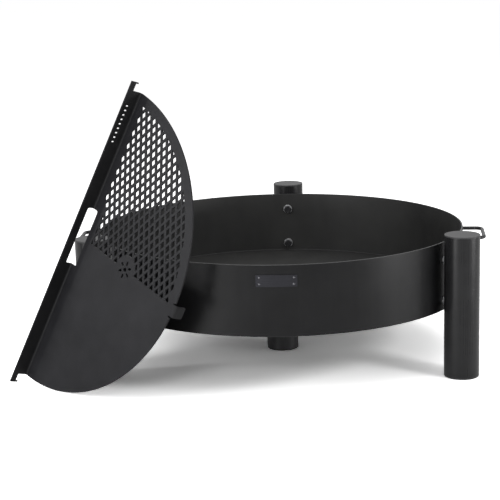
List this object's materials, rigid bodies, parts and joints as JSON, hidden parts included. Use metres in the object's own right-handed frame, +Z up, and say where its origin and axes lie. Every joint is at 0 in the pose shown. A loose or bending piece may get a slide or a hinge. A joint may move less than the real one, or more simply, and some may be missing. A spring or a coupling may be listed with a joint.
{
  "type": "fire pit",
  "caption": "Round low steel fire pit on bolted tube legs, with side handles and a loose half-moon grill plate leaning against one leg.",
  "frame": {"origin": "on the floor, at the middle of the centre foot's flat underside, under the bowl's axis", "axes": "+Z up along the bowl's axis; +X towards the right-hand handle as seen from the badge side; +Y away from the badge"},
  "size_m": [1.0242, 0.9316, 0.6311],
  "materials": {
    "bowl_paint": "satin black heat-resistant paint on rolled steel sheet",
    "floor_paint": "satin black heat-resistant paint",
    "leg_paint": "satin black heat-resistant paint on steel tube",
    "cap_paint": "satin black paint, seen light from above",
    "foot_paint": "satin black paint",
    "centre_foot_paint": "satin black paint",
    "bolt_steel": "blackened steel",
    "washer_zinc": "dulled zinc",
    "nut_zinc": "dulled zinc",
    "handle_rod": "satin black paint on round rod",
    "badge_enamel": "dark enamel, bare of any mark",
    "rivet_steel": "bright stainless",
    "grill_paint": "satin black heat-resistant paint on cut and folded sheet"
  },
  "bodies": {
    "fire_pit": {"bowl_wall": "bowl_paint", "bowl_floor": "floor_paint", "leg_tube_rear": "leg_paint", "leg_tube_right": "leg_paint", "leg_tube_left": "leg_paint", "leg_cap_rear": "cap_paint", "leg_cap_right": "cap_paint", "leg_cap_left": "cap_paint", "leg_foot_rear": "foot_paint", "leg_foot_right": "foot_paint", "leg_foot_left": "foot_paint", "leg_bolt_rear_upper": "bolt_steel", "leg_bolt_rear_lower": "bolt_steel", "leg_bolt_right_upper": "bolt_steel", "leg_bolt_right_lower": "bolt_steel", "leg_bolt_left_upper": "bolt_steel", "leg_bolt_left_lower": "bolt_steel", "leg_washer_rear_upper": "washer_zinc", "leg_washer_rear_lower": "washer_zinc", "leg_washer_right_upper": "washer_zinc", "leg_washer_right_lower": "washer_zinc", "leg_washer_left_upper": "washer_zinc", "leg_washer_left_lower": "washer_zinc", "leg_nut_rear_upper": "nut_zinc", "leg_nut_rear_lower": "nut_zinc", "leg_nut_right_upper": "nut_zinc", "leg_nut_right_lower": "nut_zinc", "leg_nut_left_upper": "nut_zinc", "leg_nut_left_lower": "nut_zinc", "centre_foot_tube": "centre_foot_paint", "centre_foot_plate": "centre_foot_paint", "handle_right": "handle_rod", "handle_left": "handle_rod", "badge_plate": "badge_enamel", "badge_rivet_1": "rivet_steel", "badge_rivet_2": "rivet_steel", "badge_rivet_3": "rivet_steel", "badge_rivet_4": "rivet_steel"},
    "loose_grill_plate": {"grill_plate": "grill_paint"}
  },
  "joints": [
    {"name": "plate_lift", "type": "slide", "parent": "fire_pit", "child": "loose_grill_plate", "axis": [0, 0, 1], "range_m": [0, 0.35]}
  ]
}
